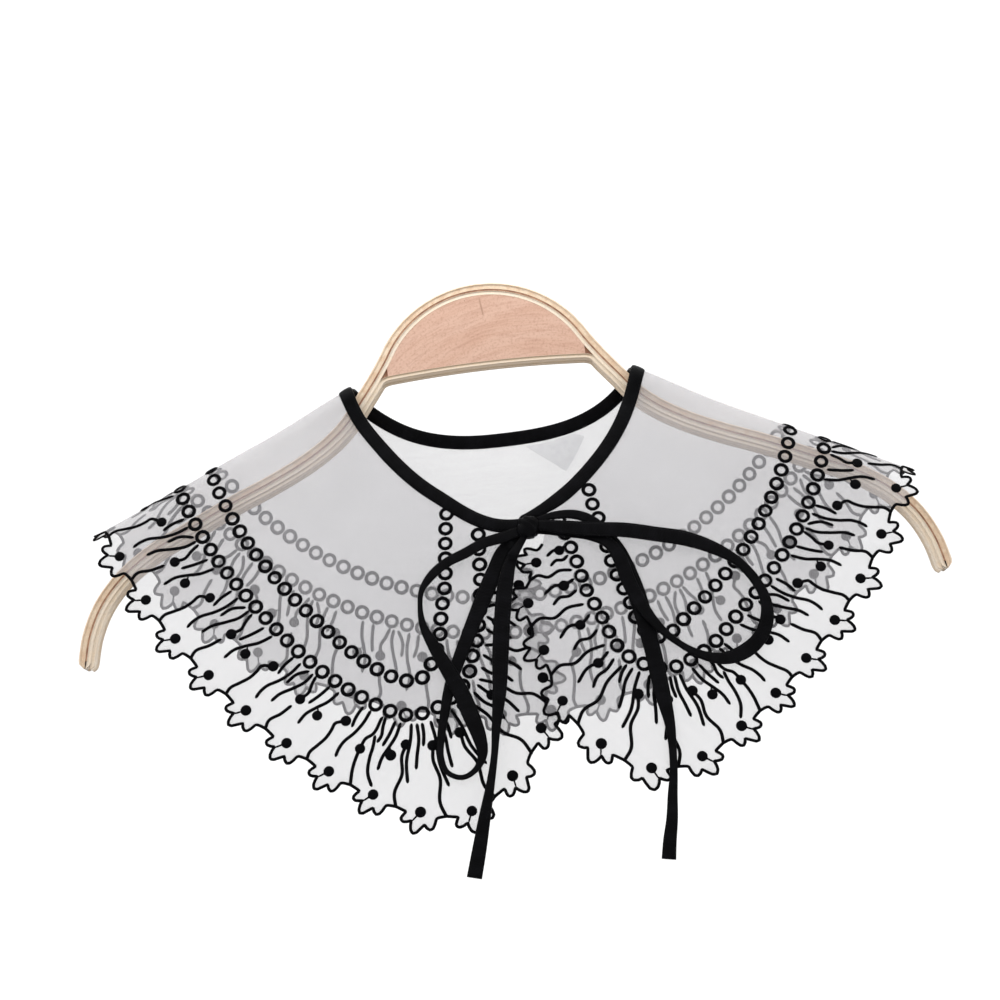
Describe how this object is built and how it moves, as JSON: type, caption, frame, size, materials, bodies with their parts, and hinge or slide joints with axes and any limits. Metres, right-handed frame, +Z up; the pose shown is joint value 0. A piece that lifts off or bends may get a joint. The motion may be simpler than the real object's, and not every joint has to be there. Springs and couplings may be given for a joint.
{
  "type": "lace collar on a wooden hanger",
  "caption": "Sheer shawl collar with a scalloped edge, a bound neck and a tied ribbon bow, hung over a bentwood hanger with a half-moon plate.",
  "frame": {"origin": "top of the hanger's arch, in the middle of its depth, where its hook or peg takes hold", "axes": "+X to the right seen from the front, -Y out of the front, +Z up"},
  "size_m": [0.429, 0.1016, 0.2951],
  "materials": {
    "pale_wood": "sealed bent plies with a brown glue line",
    "plate_wood": "sealed flat board",
    "organza": "sheer organza with black machine embroidery",
    "black_satin": "satin",
    "label_film": "blank translucent tab"
  },
  "bodies": {
    "root": {"hanger_outer_ply": "pale_wood", "hanger_inner_ply": "pale_wood", "hanger_arch_lining": "pale_wood", "hanger_plate": "plate_wood", "collar_panel": "organza", "neck_binding": "black_satin", "neck_label": "label_film", "bow_knot": "black_satin", "bow_loop_left": "black_satin", "bow_loop_right": "black_satin", "tie_tail_left": "black_satin", "tie_tail_right": "black_satin"}
  },
  "joints": []
}
